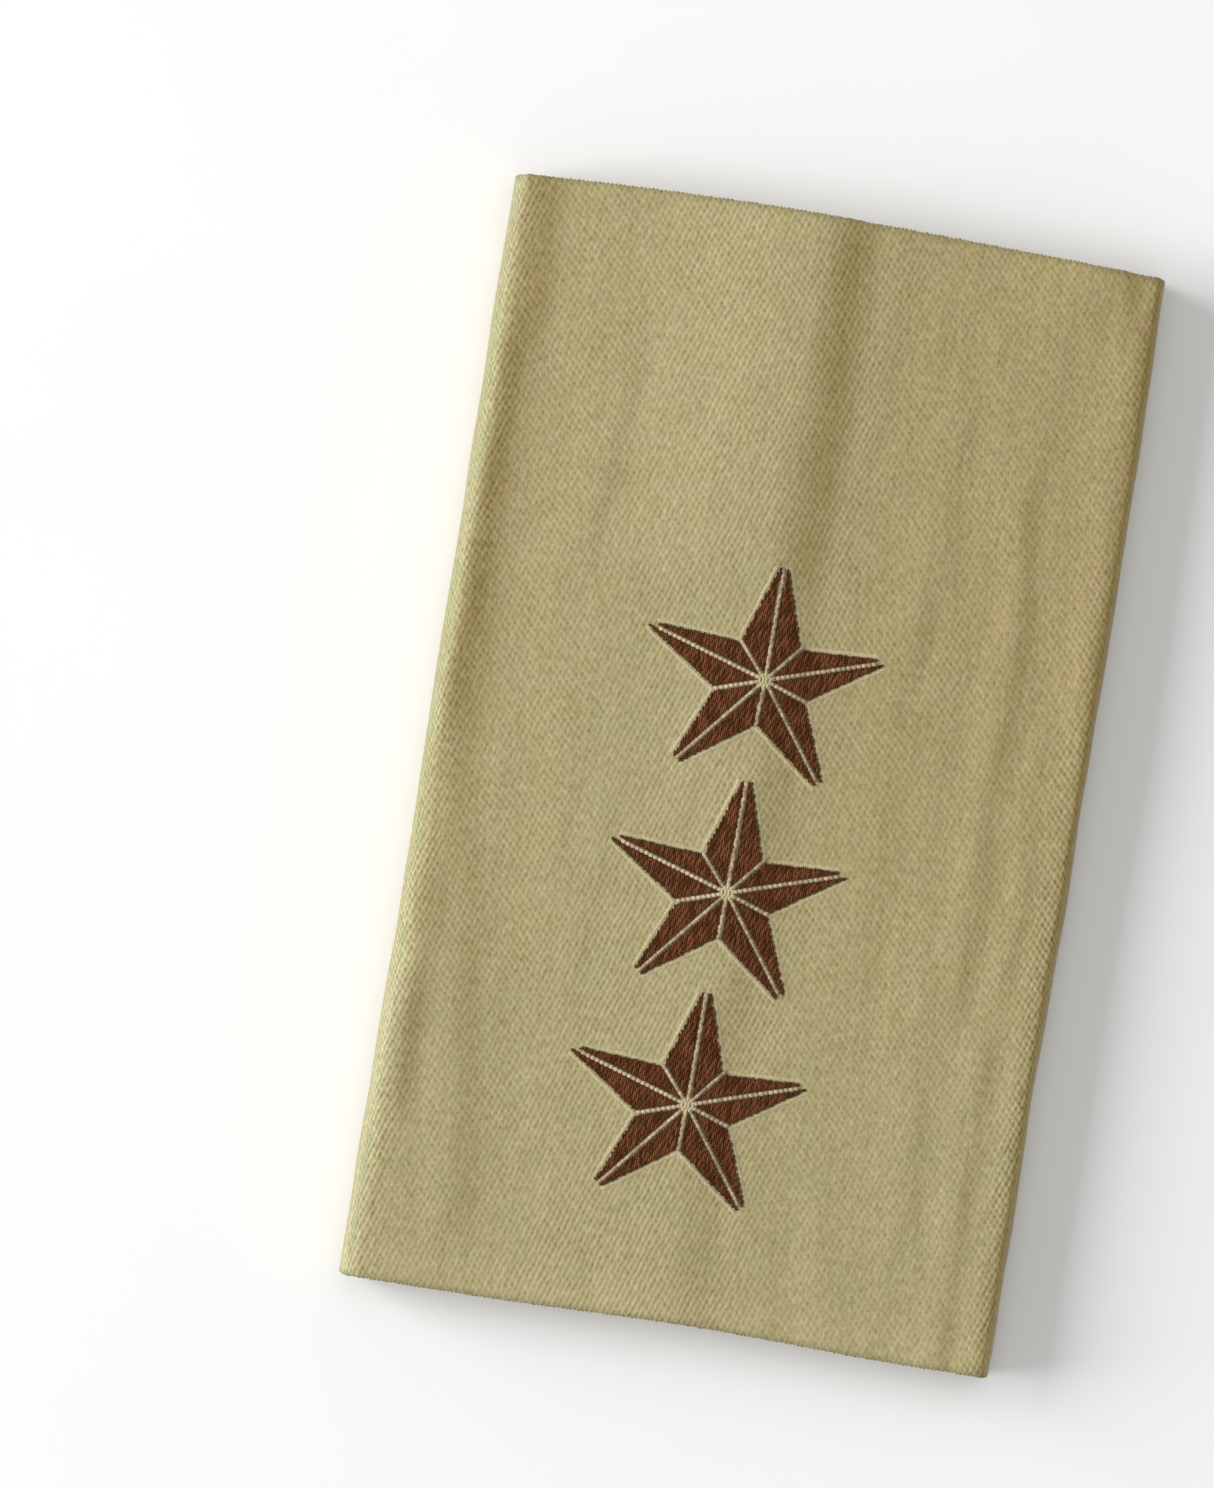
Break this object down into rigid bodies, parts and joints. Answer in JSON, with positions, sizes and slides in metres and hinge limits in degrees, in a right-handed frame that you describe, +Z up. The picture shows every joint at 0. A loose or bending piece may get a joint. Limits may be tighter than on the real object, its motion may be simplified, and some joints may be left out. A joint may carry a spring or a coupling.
{
  "type": "rank slide",
  "caption": "Flat sleeve of woven cloth, open at both ends, that slips over a shoulder strap and shows a column of woven stars.",
  "frame": {"origin": "under the middle of the back, on the surface that the sleeve lies on", "axes": "+Y along the sleeve towards its upper end, +Z up out of the front with the stars, +X to the right as the front is seen"},
  "size_m": [0.0596, 0.101, 0.0074],
  "materials": {
    "ground_cloth": "satin woven, matt",
    "star_yarn": "woven yarn, matt"
  },
  "bodies": {
    "root": {"sleeve": "ground_cloth", "star_lower": "star_yarn", "star_middle": "star_yarn", "star_upper": "star_yarn"}
  },
  "joints": []
}
